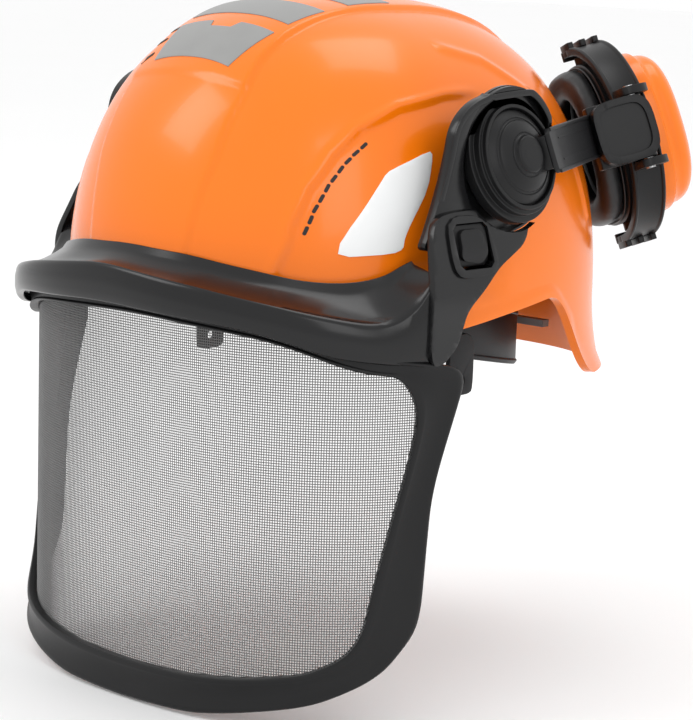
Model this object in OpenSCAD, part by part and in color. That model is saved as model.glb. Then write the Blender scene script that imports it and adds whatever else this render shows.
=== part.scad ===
// Forestry helmet: safety shell with a peak and mesh visor that swing up as one piece,
// two hearing cups on swinging arms parked behind the shell, and a harness with a ratchet.
// Millimetres. Origin: centre of the head opening at the level of the shell's side rim.
// +X is the wearer's left, -Y the front, +Z up. The right side is the mirror of the left.

/* [Shell] */
// Half width of the shell at its rim
shell_half_w = 109; // [107:0.5:110]
// Reach of the shell in front of the ear line
shell_front = 133; // [131:0.5:134]
// Reach of the shell behind the ear line
shell_rear = 146; // [143:0.5:146]
// Height of the crown above the rim
shell_h = 144; // [142:0.5:145]
// Wall of the shell
shell_wall = 3; // [2.4:0.2:3.6]
// Depth of the neck guard below the rim
guard_drop = 40; // [34:1:42]

/* [Peak and visor] */
// Half width of the peak wall
peak_half_w = 130; // [129:0.5:131]
// Reach of the peak wall in front of its centre
peak_reach = 136.2; // [135:0.2:138]
// Height of the visor axis above the rim
visor_z = 75; // [74:0.5:76]
// Half width of the visor screen
screen_half_w = 131; // [130:0.5:131.5]
// Reach of the screen in front of its centre
screen_reach = 118; // [117:0.5:119]
// Thickness of the visor frame
frame_t = 3.4; // [3:0.2:3.8]
// Travel of a visor release button
button_travel = 2; // [1:0.25:2]

/* [Hearing cups] */
// Diameter of the round hub cap
hub_d = 45; // [43:0.5:46]
// Upward tilt of the hub cap
hub_tilt = 17; // [15:0.5:18]
// Height of a cup across the fork
cup_h = 84; // [80:1:86]
// Width of a cup across its sides
cup_w = 72; // [68:1:74]
// Depth of the coloured outer cup beyond the fork
cup_depth = 34; // [32:1:38]
// Width of the arm strip
strip_w = 22; // [20:0.5:22]

/* [Harness] */
// Half width of the headband
band_half_w = 84; // [80:1:84]
// Radius of the ratchet knob
knob_r = 17; // [14:0.5:18]
// Radius of the chin strap eyelets
eyelet_r = 2.6; // [2.2:0.1:3]

/* [Hidden] */
$fn = 48;

orange = "#f57c00";
black = "#1c1c1e";
grey = "#9a9a98";

// Super-ellipse exponents: plan in front, plan behind, side profile along and across
n_front = 2.2;
n_rear = 2.6;
p_up = 2.32;
p_out = 2.66;
gap = 0.3;

// Sign-keeping power, for super-ellipses
function spow(v, p) = sign(v) * pow(abs(v), p);
// Smooth step from 0 at a to 1 at b
function ease(a, b, v) = let (t = min(1, max(0, (v - a) / (b - a)))) t * t * (3 - 2 * t);
// Plan point of a super-ellipse; angle 0 is the front, 90 the wearer's left
function plan(a, half_w, front, rear, nf, nr) =
    let (n = cos(a) > 0 ? nf : nr, len = cos(a) > 0 ? front : rear)
    [half_w * spow(sin(a), 2 / n), -len * spow(cos(a), 2 / n)];
// Narrowing of the shell at height z
function shrink(z) = pow(1 - pow(min(1, max(0, z / shell_h)), p_up), 1 / p_out);
// Point of the shell's plan at height z and angle a, moved outward by off
function shell_at(a, z, off = 0) = let (s = shrink(z))
    plan(a, shell_half_w * s + off, shell_front * s + off, shell_rear * s + off, n_front, n_rear);
// Height of the shell's rim where the plan reaches y
function rim_z(y) = 4.5 - 0.13 * (43 - max(-30, min(43, y)))
    - (guard_drop + 4.5) * ease(46, 98, y) + 20 * ease(-62, -104, y);
// Outward flare of the neck guard
function flare(z) = 6 * pow(max(0, -z) / guard_drop, 2);

// Closed solid from a row of closed rings, each with the same number of points
module loft(rings) {
    n = len(rings);
    m = len(rings[0]);
    pts = [for (r = rings) each r];
    sides = [for (i = [0:n - 2], k = [0:m - 1]) let (k2 = (k + 1) % m)
        each [[i * m + k, i * m + k2, (i + 1) * m + k2], [i * m + k, (i + 1) * m + k2, (i + 1) * m + k]]];
    tips = [[for (k = [m - 1:-1:0]) k], [for (k = [0:m - 1]) (n - 1) * m + k]];
    faces = concat(sides, tips);
    volume = [for (f = faces, k = [1:len(f) - 2]) pts[f[0]] * cross(pts[f[k]], pts[f[k + 1]])]
        * [for (f = faces, k = [1:len(f) - 2]) 1];
    polyhedron(pts, volume > 0 ? [for (f = faces) [for (k = [len(f) - 1:-1:0]) f[k]]] : faces,
        convexity = 10);
}
// Mirror for the wearer's right
module side(s) { mirror([s < 0 ? 1 : 0, 0, 0]) children(); }

// ---------- shell ----------
shell_cols = 64;
// Rows from the rim up: two on the neck guard, then even steps of the profile angle
function shell_ring(j, inset) = [for (k = [0:shell_cols - 1])
    let (a = 360 * k / shell_cols,
        z_rim = rim_z(shell_at(a, 0)[1]),
        th = [0, 0, 8, 16, 24, 32, 40, 47, 54, 60, 66, 72, 77, 81, 85, 89.5][j],
        z_top = (shell_h - inset) * pow(sin(th), 2 / p_up),
        z = j == 0 ? z_rim : j == 1 ? (z_rim + 25) / 2 : z_top,
        s = z > 0 ? pow(1 - pow(min(1, z / (shell_h - inset)), p_up), 1 / p_out) : 1,
        f = flare(z) * ease(100, 150, a < 180 ? a : 360 - a),
        p = plan(a, (shell_half_w - inset) * s + f, (shell_front - inset) * s + f,
            (shell_rear - inset) * s + f, n_front, n_rear))
    [p[0], p[1], z]];
shell_rows = 16;
// Cylinders along x for the hub bolts and their holes
module bolt_row(s, r, x0, x1) {
    side(s) for (dy = [-14, 14]) translate([x0, dy, visor_z - 14]) rotate([0, 90, 0]) cylinder(h = x1 - x0, r = r);
}
module shell() {
    color(orange) loft(concat(
        [for (j = [shell_rows - 1:-1:0]) shell_ring(j, 0)],
        [for (j = [0:shell_rows - 1]) shell_ring(j, shell_wall)]));
}

// Solid with the shell's outer form above its two lowest rows, moved outward by off
module skin(off) { loft([for (j = [shell_rows - 1:-1:2]) shell_ring(j, -off)]); }
// A grey patch across the crown: y from y0 to y1, half width w0 to w1
module crown_patch(y0, y1, w0, w1) {
    color(grey) intersection() {
        translate([0, 0, 60]) linear_extrude(100) polygon([[-w0, y0], [w0, y0], [w1, y1], [-w1, y1]]);
        difference() {
            skin(0.9);
            skin(gap);
        }
    }
}
module crown_reflector_front() { crown_patch(-94, -71, 24, 30); }
module crown_reflector_middle() { crown_patch(-63, -42, 31, 34); }
module crown_reflector_rear() { crown_patch(-26, 2, 34, 35); }
// Side reflectors: a leaning four-sided patch behind the peak's shoulder
function reflector_ring(i, off) = let (u = i / 6, y = -84 + 50 * u, z0 = 36 + 40 * u * u, z1 = 44 + 40 * u)
    [for (j = [0:5]) let (z = z0 + (z1 - z0) * j / 5, s = shrink(z), half = shell_half_w * s + off,
        x = half * pow(1 - pow(-y / (shell_front * s + off), n_front), 1 / n_front)) [x, y, z]];
module side_reflector(s) {
    color("#e8e8e8") side(s) loft([for (i = [0:6])
        concat(reflector_ring(i, 0.9), [for (j = [5:-1:0]) reflector_ring(i, 0.3)[j]])]);
}
module side_reflector_left() { side_reflector(1); }
module side_reflector_right() { side_reflector(-1); }

// ---------- hub base: fixed boss, visor bearing and tilted collar ----------
hub_x = 127.4;
hub_z = 78.2;
boss_x = 99;
plate_x = 109.6;
collar_x = 113;
bearing_r = 13;
stem_r = 5;
collar_r = 30;
module at_hub(s) { side(s) translate([hub_x, 0, hub_z]) rotate([0, -hub_tilt, 0]) children(); }
// Cylinder along the local x axis from x0 to x1
module xcyl(r, x0, x1) { translate([x0, 0, 0]) rotate([0, 90, 0]) cylinder(h = x1 - x0, r = r); }
module hub_base(s) {
    color(black) difference() {
        union() {
            side(s) translate([0, 0, visor_z]) xcyl(24, boss_x, plate_x - gap);
            side(s) translate([0, 0, visor_z]) xcyl(bearing_r, plate_x - gap - 0.1, collar_x + 1);
            intersection() {
                at_hub(s) union() {
                    xcyl(collar_r, -16, -11.5);
                    xcyl(27, -11.6, -8);
                    xcyl(25, -8.1, -5.5);
                }
                side(s) translate([collar_x, -40, 20]) cube([40, 80, 110]);
            }
        }
        at_hub(s) xcyl(hub_d / 2 + 0.6, -8.5, 5);
        at_hub(s) xcyl(stem_r + 0.05, -24, 0);
        bolt_row(s, 2.1, boss_x - 1, boss_x + 7);
    }
}
module hub_base_left() { hub_base(1); }
module hub_base_right() { hub_base(-1); }
module hub_bolts() {
    color("#b0b0b0") for (s = [-1, 1]) {
        bolt_row(s, 2, 94.2, boss_x + 6);
        bolt_row(s, 4, 91.6, 94.2);
    }
}

// ---------- peak, arms and visor carrier ----------
peak_y = -15;
n_peak = 2.4;
n_screen = 2.6;
wall_t = 3.5;
function peak_at(a, off = 0) = let (p = plan(a, peak_half_w + off, peak_reach + off, 200, n_peak, n_peak))
    [p[0], p[1] + peak_y];
function screen_at(a, off = 0) = let (p = plan(a, screen_half_w + off, screen_reach + off, 200, n_screen, n_screen))
    [p[0], p[1] + peak_y];
// Heights around the peak by plan angle: top edge, bottom edge, and the inner edge on the shell
function top_z(a) = lookup(abs(a), [[0, 24.5], [22, 18], [39, 11.7], [55, 5], [60, 3.4], [64, 4.4], [68, 8.5],
    [71, 15.4], [74.5, 28.5]]);
function bot_z(a) = lookup(abs(a), [[0, 7.7], [22, 4.5], [31, 2.4], [41, -2.8], [49, -8.4], [55, -10.8],
    [61, -12.5], [69, -14.6], [75, -15]]);
function seat_z(a) = lookup(abs(a), [[0, 32.5], [18, 30.5], [35, 25.3], [47, 21], [57, 19.8], [65, 21.3],
    [71, 25.3], [74.5, 31]]);
peak_end = 74.5;
peak_steps = 44;
function peak_section(a) = let (z_i = seat_z(a), i_o = shell_at(a * 0.92, z_i, 1.2),
    i_u = shell_at(a * 0.92, z_i - 3.5, 1.2), zt = top_z(a), zb = bot_z(a), o = peak_at(a), i = peak_at(a, -wall_t))
    [[each i_o, z_i], [o[0], o[1], zt], [o[0], o[1], zb], [i[0], i[1], zb],
        [i[0], i[1], min(zt - 3, z_i - 5)], [each i_u, z_i - 4]];
// Side outlines in the y z plane, seen from the wearer's left
plate_outline = [[-61, 33], [-55, 45], [-48, 62], [-43, 78], [-40, 92], [-30, 101], [-18, 105], [16, 107], [27, 104],
    [30, 97], [30, 84], [26, 62], [14, 49], [0, 44], [-20, 42]];
arm_outline = [[-63, 31], [-57, 50], [-44, 53], [14, 52], [11, 45], [5, 36], [-7, 31], [-19, 26], [-31, 17],
    [-42, 9], [-45, 0], [-48, -7], [-53, -11], [-58, -14.5], [-66, -14.8], [-66, 20]];
module yz_plate(outline, x0, x1) {
    translate([x0, 0, 0]) rotate([90, 0, 90]) linear_extrude(x1 - x0) polygon(outline);
}
// Sloping skin of the lower arm, wall_t thick, upright below the slope
slope_z = 19;
skin_x = 127.9;
skin_top = 55;
module arm_skin() {
    top_x = skin_x - (skin_top - slope_z) * tan(hub_tilt);
    intersection() {
        yz_plate(arm_outline, 105, 131);
        translate([0, 20, 0]) rotate([90, 0, 0]) linear_extrude(120) polygon([[top_x, skin_top], [skin_x, slope_z],
            [skin_x, -20], [skin_x - wall_t, -20], [skin_x - wall_t, slope_z], [top_x - wall_t, skin_top]]);
    }
}
// Side plate outline, held inside the sweep that clears the parked arm strip
clear_r = 35;
module plate_2d() {
    intersection() {
        polygon(plate_outline);
        union() {
            translate([0, visor_z]) circle(r = clear_r);
            translate([-80, 20]) square([64, 100]);
            translate([-80, 20]) square([160, visor_z - 20]);
        }
    }
}
button_y = -34;
button_z = 37.5;
module carrier_side() {
    difference() {
        union() {
            translate([110.6, 0, 0]) rotate([90, 0, 90]) linear_extrude(4.4) plate_2d();
            arm_skin();
            // raised border along the upper arch
            translate([114.8, 0, 0]) rotate([90, 0, 90]) linear_extrude(1.2) difference() {
                plate_2d();
                translate([-2, 70]) circle(r = 34);
                translate([-48, 38]) square([80, 26]);
            }
            translate([112, button_y - 17, button_z - 14]) cube([7.5, 34, 28]);
        }
        translate([0, 0, visor_z]) xcyl(bearing_r + 0.05, 100, 130);
        translate([0, 0, visor_z]) xcyl(33.5, 112.4, 130);
        translate([110, button_y - 12.2, button_z - 10.2]) cube([20, 24.4, 20.4]);
    }
}
module visor_peak() {
    color(black) loft([for (i = [0:peak_steps]) peak_section(-peak_end + 2 * peak_end * i / peak_steps)]);
}
module visor_arm_left() { color(black) carrier_side(); }
module visor_arm_right() { color(black) side(-1) carrier_side(); }

// ---------- screen ----------
function sill_z(a) = lookup(abs(a), [[0, -165], [11, -164.3], [25, -161.4], [41, -157], [50, -150], [53, -146]]);
function hem_z(a) = lookup(abs(a), [[0, -183], [13.6, -182], [21.7, -179], [29.5, -176], [37.9, -173], [44.7, -170],
    [50.2, -166], [56.6, -161], [62, -155]]);
function jamb_a(z) = lookup(z, [[-168, 42], [-157, 45], [-150, 50], [-146, 53], [-137, 56], [-112, 59], [-86, 62.6],
    [-64, 66], [-48, 68], [-35, 69], [-25, 66.5], [-18, 63], [-14, 58]]);
function rear_a(z) = lookup(z, [[-166, 50.2], [-161, 56.6], [-155, 62], [-147, 65.8], [-138, 69.8], [-127, 71.1],
    [-101, 71.9], [-79, 72.7], [-67, 73.9], [-54, 75.8], [-41, 77.9], [-28, 79.9], [-20, 81], [-15.6, 78]]);
// Curved panel between two plan angles at one height, k steps wide
function strip_ring(a0, a1, z, off, t, k) = concat(
    [for (i = [0:k]) [each screen_at(a0 + (a1 - a0) * i / k, off), z]],
    [for (i = [k:-1:0]) [each screen_at(a0 + (a1 - a0) * i / k, off - t), z]]);
// Curved rail from plan angle -a1 to a1 between two heights
module rail(a1, steps, off, t, low, high) {
    loft([for (i = [0:steps]) let (a = -a1 + 2 * a1 * i / steps, o = screen_at(a, off), n = screen_at(a, off - t))
        [[each o, low[i]], [each o, high[i]], [each n, high[i]], [each n, low[i]]]]);
}
sash_steps = 32;
function along(a1, steps, f) = [for (i = [0:steps]) f(-a1 + 2 * a1 * i / steps)];
frame_levels = [-166, -161, -155, -147, -138, -127, -112, -96, -79, -60, -48, -41, -35, -28, -20, -15.6];
module sash(off, t, lip) {
    rail(53, sash_steps, off, t, along(53, sash_steps, function (a) hem_z(a) + lip),
        along(53, sash_steps, function (a) sill_z(a)));
    rail(64, sash_steps, off, t, along(64, sash_steps, function (a) bot_z(a) - 6.5),
        along(64, sash_steps, function (a) bot_z(a) - gap - lip));
    for (s = [-1, 1]) side(s) loft([for (z = frame_levels)
        strip_ring(jamb_a(z), rear_a(z) - lip * 0.6, max(z, -166 + lip), off, t, 4)]);
}
module visor_frame() { color(black) sash(0, frame_t, 0); }
mesh_t = 0.6;
mesh_end = 72;
mesh_steps = 48;
// Lower edge of the mesh, behind the sill and the slanting jambs
function mesh_low(a) = lookup(abs(a), [[0, -170], [11, -169], [25, -166], [41, -162], [53, -151], [56, -141],
    [59, -117], [62.6, -91], [66, -69], [68, -53], [70, -40], [72, -28]]);
module visor_mesh() {
    color("#77777a") rail(mesh_end, mesh_steps, -frame_t - 0.1, mesh_t,
        along(mesh_end, mesh_steps, function (a) mesh_low(a)),
        along(mesh_end, mesh_steps, function (a) bot_z(a) - 2));
}
module mesh_retainer() {
    color(black) rail(52, sash_steps, -frame_t - mesh_t - 0.2, 1.4,
        along(52, sash_steps, function (a) sill_z(a) - 7), along(52, sash_steps, function (a) sill_z(a) - 1));
    color(black) rail(58, sash_steps, -frame_t - mesh_t - 0.2, 1.4,
        along(58, sash_steps, function (a) bot_z(a) - 6.4), along(58, sash_steps, function (a) bot_z(a) - 2));
}
module rivet(a, z) {
    p = screen_at(a);
    q = screen_at(a + 0.5);
    yaw = atan2(q[1] - p[1], q[0] - p[0]);
    translate([p[0], p[1], z]) rotate([0, 0, yaw]) rotate([-90, 0, 0]) {
        translate([0, 0, 1]) cylinder(h = 5.4, r = 1.2);
        translate([0, 0, 5.7]) cylinder(h = 1.2, r = 2.4);
    }
}
module frame_rivets() {
    color("#303032") {
        for (a = [-44, -22, 0, 22, 44]) rivet(a, sill_z(a) - 4);
        for (a = [-48, -24, 0, 24, 48]) rivet(a, bot_z(a) - 4.4);
    }
}
// Release button: a block with a faceted, tapering face, sliding along x in its opening
module visor_button(s) {
    color(black) side(s) translate([0, button_y, button_z]) {
        translate([113.8, -11.8, -9.8]) cube([8.4, 23.6, 19.6]);
        translate([122.1, 0, 0]) rotate([90, 0, 90]) linear_extrude(2.6)
            polygon([[-9, 7.5], [6, 7.5], [9.5, -4], [5, -8.5], [-9.5, -6]]);
    }
}
module visor_button_left() { visor_button(1); }
module visor_button_right() { visor_button(-1); }

// ---------- hearing cups ----------
// Cup centre in the fork, and the cup's outward direction
cup_pos = [67.3, 142, 72.5];
cup_az = 57;
cup_el = 15.5;
cup_roll = -13.8;
fork_r = 50;
// Local frame: x out of the cup, -y towards the arm, z towards the fork's upper end
module at_cup(s) {
    side(s) translate(cup_pos) rotate([0, 0, cup_az]) rotate([0, -cup_el, 0]) rotate([cup_roll, 0, 0]) children();
}
module hub_cap(s) {
    color(black) at_hub(s) {
        rotate([0, 90, 0]) rotate_extrude() {
            polygon(concat([[0, -8], [hub_d / 2, -8], [hub_d / 2, -7.4]],
                [for (t = [36:-3:0]) [38 * sin(t) * (hub_d / 2) / (38 * sin(36)), 38 * (cos(t) - 1)]]));
        }
        xcyl(stem_r, -22, -7.9);
        xcyl(9, -1.5, 0.8);
    }
    // guide foot that carries the strip
    color(black) intersection() {
        strip_frame(s) translate([0, -strip_w / 2 + 3, -9]) cube([12, strip_w - 6, 9 - 0.05]);
        at_hub(s) xcyl(hub_d / 2 - 0.3, -4, 12);
    }
}
module hub_cap_left() { hub_cap(1); }
module hub_cap_right() { hub_cap(-1); }

// The strip runs rearward and inward: local x along it, z out of its face
strip_from = [128.8, 12, 78.6];
strip_az = 113.4;
strip_el = 0.9;
strip_roll = 71.4;
strip_len = 101;
strip_t = 2.4;
module strip_frame(s) {
    side(s) translate(strip_from) rotate([0, 0, strip_az]) rotate([0, -strip_el, 0]) rotate([strip_roll, 0, 0])
        children();
}
module arm_strip(s) {
    color("#3a3a3c") strip_frame(s) {
        translate([0, -strip_w / 2, 0.05]) cube([strip_len, strip_w, strip_t]);
        for (e = [-1, 1]) translate([0, e * (strip_w / 2 - 1) - 1, strip_t]) cube([strip_len, 2, 0.8]);
    }
}
module arm_strip_left() { arm_strip(1); }
module arm_strip_right() { arm_strip(-1); }

// Hooded block on the strip, with the knuckle that the fork hangs on
pin_at = [-2, -58];
pin_r = 2.5;
module arm_block(s) {
    color(black) difference() {
        union() {
            at_cup(s) translate([-27, -66, -16]) cube([31, 7, 32]);
            at_cup(s) translate([-27, -60, -16]) cube([18, 7.4, 32]);
            at_cup(s) translate([pin_at[0], pin_at[1], -16]) cylinder(h = 32, r = 5);
        }
        at_cup(s) translate([pin_at[0], pin_at[1], -20]) cylinder(h = 40, r = pin_r);
        strip_frame(s) translate([60, -strip_w / 2 - 0.3, -0.25])
            cube([strip_len - 60 + 1, strip_w + 0.6, strip_t + 1.5]);
    }
}
module arm_block_left() { arm_block(1); }
module arm_block_right() { arm_block(-1); }
module block_pin(s) {
    color("#b0b0b0") at_cup(s) translate([pin_at[0], pin_at[1], -21.2]) cylinder(h = 42.4, r = pin_r);
}
module block_pin_left() { block_pin(1); }
module block_pin_right() { block_pin(-1); }

// C-shaped fork: ears on the pin, a bow round the cup, and a clip with a stub at each end
fork_w = 17;
module fork(s) {
    color(black) at_cup(s) difference() {
        union() {
            translate([fork_w / 2, 0, 0]) rotate([0, -90, 0]) linear_extrude(fork_w) difference() {
                circle(r = fork_r + 1.8, $fn = 96);
                circle(r = fork_r - 1.7, $fn = 96);
                translate([-80, 0]) square([160, 80]);
            }
            for (e = [-1, 1]) {
                translate([-8.5, -64, e * 18.5 - 2]) cube([17, 16.5, 4]);
                translate([-fork_w / 2, -0.1, e * fork_r - 1.7]) cube([fork_w, 9, 3.5]);
                translate([0, 0, e * 46.3 - 2.7]) cylinder(h = 5.4, r = 2);
            }
        }
        translate([pin_at[0], pin_at[1], -24]) cylinder(h = 48, r = pin_r + 0.05);
    }
}
module fork_left() { fork(1); }
module fork_right() { fork(-1); }

// Cup outline at depth c: half height he, half width hw
function cup_ring(c, he, hw) = [for (k = [0:39]) let (a = 9 * k)
    [c, hw * spow(cos(a), 2 / 2.6), he * spow(sin(a), 2 / 2.6)]];
module cup_slab(c0, c1, he, hw, in_he, in_hw) {
    translate([c0, 0, 0]) rotate([90, 0, 90]) linear_extrude(c1 - c0) difference() {
        polygon([for (p = cup_ring(0, he, hw)) [p[1], p[2]]]);
        if (in_he > 0) polygon([for (p = cup_ring(0, in_he, in_hw)) [p[1], p[2]]]);
    }
}
cup_he = cup_h / 2;
cup_hw = cup_w / 2;
cup_wall = 2.6;
module cup_shell(s) {
    steps = [[6.3, 1], [20, 1], [23, 0.94], [29, 0.88], [32.6, 0.76], [cup_depth, 0.6]];
    color(orange) at_cup(s) loft(concat(
        [for (i = [len(steps) - 1:-1:0]) cup_ring(steps[i][0], cup_he * steps[i][1], cup_hw * steps[i][1])],
        [for (i = [0:len(steps) - 1]) cup_ring(max(6.3, steps[i][0] - (i > 0 ? cup_wall : 0)),
            cup_he * steps[i][1] - cup_wall, cup_hw * steps[i][1] - cup_wall)]));
}
module cup_shell_left() { cup_shell(1); }
module cup_shell_right() { cup_shell(-1); }
module cup_plate(s) {
    color(black) at_cup(s) difference() {
        union() {
            cup_slab(-8, 6, cup_he + 0.6, cup_hw + 0.6, cup_he - 14, cup_hw - 14);
            for (e = [-1, 1]) translate([0, 0, e * 44.4 - 2.2]) cylinder(h = 4.4, r = 5);
        }
        for (e = [-1, 1]) translate([0, 0, e * 45.9 - 2.6]) cylinder(h = 5.2, r = 2.05);
    }
}
module cup_plate_left() { cup_plate(1); }
module cup_plate_right() { cup_plate(-1); }
cushion_in = -20;
module cup_cushion(s) {
    color("#151515") at_cup(s) cup_slab(cushion_in, -8.3, cup_he - 0.4, cup_hw - 0.4, cup_he - 16, cup_hw - 16);
}
module cup_cushion_left() { cup_cushion(1); }
module cup_cushion_right() { cup_cushion(-1); }
module cup_liner(s) {
    color("#404040") at_cup(s) cup_slab(6.6, 13, cup_he - 4, cup_hw - 4, 0, 0);
}
module cup_liner_left() { cup_liner(1); }
module cup_liner_right() { cup_liner(-1); }

// ---------- harness ----------
band_t = 2;
band_front = 100;
band_rear = 98;
band_h = 28;
band_end = 140;
function band_z(y) = -9 - 0.19 * y;
function band_at(a, off = 0) = plan(a, band_half_w + off, band_front + off, band_rear + off, n_front, n_rear);
function band_ring(a, off, t, h) = let (o = band_at(a, off), i = band_at(a, off - t), z = band_z(o[1]))
    [[each o, z - h / 2], [each o, z + h / 2], [each i, z + h / 2], [each i, z - h / 2]];
module headband() {
    color(black) loft([for (i = [0:48]) band_ring(-band_end + 2 * band_end * i / 48, 0, band_t, band_h)]);
    color(black) for (s = [-1, 1]) side(s) difference() {
        translate([band_half_w, -4, -42]) cube([3, 18, 30]);
        translate([0, 5, -35]) xcyl(eyelet_r, 80, 90);
    }
}
module sweatband() {
    color("#2a2a2c") loft([for (i = [0:24]) band_ring(-60 + 5 * i, -band_t - 0.2, 4, band_h + 2)]);
}
anchor_angles = [-135, -45, 45, 135];
anchor_low = 6;
anchor_top = 20;
// Bar from the band outward past the shell's wall
module anchor_bar(a) {
    i = band_at(a, -0.8);
    o = shell_at(a, 18, 6);
    u = 9 * [i[1] - o[1], o[0] - i[0]] / norm(o - i);
    loft([for (p = [i, o])
        [[each (p + u), anchor_low], [each (p - u), anchor_low],
            [each (p - u), anchor_top], [each (p + u), anchor_top]]]);
}
// Each anchor runs from the band into the shell's wall
module strap_anchors() {
    color(black) intersection() {
        union() {
            for (a = anchor_angles) anchor_bar(a);
        }
        linear_extrude(anchor_top + 10) polygon([for (a = [0:6:354]) shell_at(a, anchor_top, -shell_wall / 2)]);
    }
}
strap_half = 10;
strap_th = 1.6;
function strap_point(a, th, lift) = let (s = pow(cos(th), 0.75))
    [each plan(a, 90 * s, 108 * s, 106 * s, n_front, n_rear), 22 + lift + 96 * pow(sin(th), 2 / p_up)];
function strap_ring(a, th, lift, turn) = let (p = strap_point(a, th, lift), q = band_at(a), d = q / norm(q) * turn,
    u = strap_half * [-d[1], d[0], 0], n = strap_th * [turn * d[0] * cos(th), turn * d[1] * cos(th), sin(th)])
    [p + u, p - u, p - u - n, p + u - n];
module strap(a, lift) {
    loft(concat([for (th = [0:9:81]) strap_ring(a, th, lift, 1)],
        [for (th = [81:-9:0]) strap_ring(a + 180, th, lift, -1)]));
}
module crown_straps() {
    color("#26262a") {
        strap(45, 0);
        strap(-45, 2.4);
    }
}
// Nape unit: band, pad and ratchet
nape_half = 32;
function nape_stations() = [for (i = [0:16]) 180 - nape_half + 2 * nape_half * i / 16];
module nape_band() { color(black) loft([for (a = nape_stations()) band_ring(a, 0, band_t, band_h)]); }
module nape_pad() {
    color("#2a2a2c") loft([for (a = nape_stations()) band_ring(a, -band_t - 0.2, 5, band_h - 2)]);
}
axis_z = -28;
module ycyl(r, y0, y1) { translate([0, y0, axis_z]) rotate([-90, 0, 0]) cylinder(h = y1 - y0, r = r); }
module ratchet_housing() {
    color(black) difference() {
        translate([-34, 98.4, axis_z - 14]) cube([68, 12.6, 28]);
        translate([-40, 100.6, axis_z - 10.5]) cube([80, 8.2, 21]);
        ycyl(3.05, 105, 115);
    }
}
module ratchet_knob() {
    color(black) difference() {
        union() {
            ycyl(knob_r, 111.4, 123);
            ycyl(knob_r - 3, 122.9, 125);
        }
        for (k = [0:11]) translate([0, 0, axis_z]) rotate([0, 30 * k, 0]) translate([knob_r + 2.4, 110, 0])
            rotate([-90, 0, 0]) cylinder(h = 20, r = 4);
        ycyl(3, 110, 118);
    }
}
teeth = 10;
tooth_pitch = 2 * PI * 5 / teeth;
module drive_pinion() {
    color("#c8c8c8") {
        translate([0, 102.4, axis_z]) rotate([-90, 0, 0]) linear_extrude(4.4) union() {
            circle(r = 3.2);
            for (k = [0:teeth - 1]) rotate(360 / teeth * k)
                polygon([[-1.15, -2.9], [-1.15, -3.7], [-0.55, -5], [-0.2, -5.8], [0.2, -5.8], [0.55, -5],
                    [1.15, -3.7], [1.15, -2.9]]);
        }
        ycyl(3, 106.7, 118);
    }
}
module rack(turn) {
    color("#8a8a8c") translate([0, 0, axis_z]) rotate([0, turn, 0]) {
        translate([-10, 102.2, 6.2]) cube([70, 4.8, 3.6]);
        for (k = [-3:6]) translate([tooth_pitch * (k + 0.5), 107, 0]) rotate([90, 0, 0]) linear_extrude(4.8)
            polygon([[-1, 6.3], [-0.95, 6.1], [-0.25, 4.15], [0.25, 4.15], [0.95, 6.1], [1, 6.3]]);
    }
}
module rack_left() { rack(0); }
module rack_right() { rack(180); }

shell();
crown_reflector_front();
crown_reflector_middle();
crown_reflector_rear();
side_reflector_left();
side_reflector_right();
hub_base_left();
hub_base_right();
hub_bolts();
crown_straps();
strap_anchors();
headband();
sweatband();
nape_band();
nape_pad();
ratchet_housing();
ratchet_knob();
drive_pinion();
rack_left();
rack_right();
visor_peak();
visor_arm_left();
visor_arm_right();
visor_frame();
visor_mesh();
mesh_retainer();
frame_rivets();
visor_button_left();
visor_button_right();
hub_cap_left();
hub_cap_right();
arm_strip_left();
arm_strip_right();
arm_block_left();
arm_block_right();
block_pin_left();
block_pin_right();
fork_left();
fork_right();
cup_shell_left();
cup_shell_right();
cup_plate_left();
cup_plate_right();
cup_cushion_left();
cup_cushion_right();
cup_liner_left();
cup_liner_right();
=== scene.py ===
import math

import bmesh
import bpy
import numpy as np
from mathutils import Matrix, Vector


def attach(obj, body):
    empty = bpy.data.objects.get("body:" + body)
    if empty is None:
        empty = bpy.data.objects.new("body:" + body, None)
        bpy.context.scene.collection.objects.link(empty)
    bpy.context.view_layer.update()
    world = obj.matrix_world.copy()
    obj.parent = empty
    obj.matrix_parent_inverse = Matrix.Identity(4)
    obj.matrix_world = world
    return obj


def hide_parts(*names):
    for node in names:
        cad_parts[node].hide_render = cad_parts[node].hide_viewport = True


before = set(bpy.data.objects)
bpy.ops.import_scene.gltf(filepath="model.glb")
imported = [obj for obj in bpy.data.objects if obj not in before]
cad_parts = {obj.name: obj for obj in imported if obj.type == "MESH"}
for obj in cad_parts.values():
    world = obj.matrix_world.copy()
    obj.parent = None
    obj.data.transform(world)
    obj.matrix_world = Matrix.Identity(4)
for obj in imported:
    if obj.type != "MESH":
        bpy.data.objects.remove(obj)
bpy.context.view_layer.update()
scene = bpy.context.scene
MM = 0.001


# ---------- shape functions, in millimetres ----------
def spow(v, p):
    return math.copysign(abs(v) ** p, v)


def ease(a, b, v):
    t = np.clip((np.asarray(v, float) - a) / (b - a), 0, 1)
    return t * t * (3 - 2 * t)


def plan(a, half_w, front, rear, nf, nr):
    """Super-ellipse in plan; angle 0 is the front, 90 the wearer's left."""
    a = math.radians(a)
    n = nf if math.cos(a) > 0 else nr
    length = front if math.cos(a) > 0 else rear
    return half_w * spow(math.sin(a), 2 / n), -length * spow(math.cos(a), 2 / n)


HALF_W, FRONT, REAR, HEIGHT, WALL, DROP = 109.0, 133.0, 146.0, 144.0, 3.0, 40.0
NF, NR, P_UP, P_OUT = 2.2, 2.6, 2.32, 2.66


def shrink(z, h=HEIGHT):
    return (1 - min(1, max(0, z / h)) ** P_UP) ** (1 / P_OUT)


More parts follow.
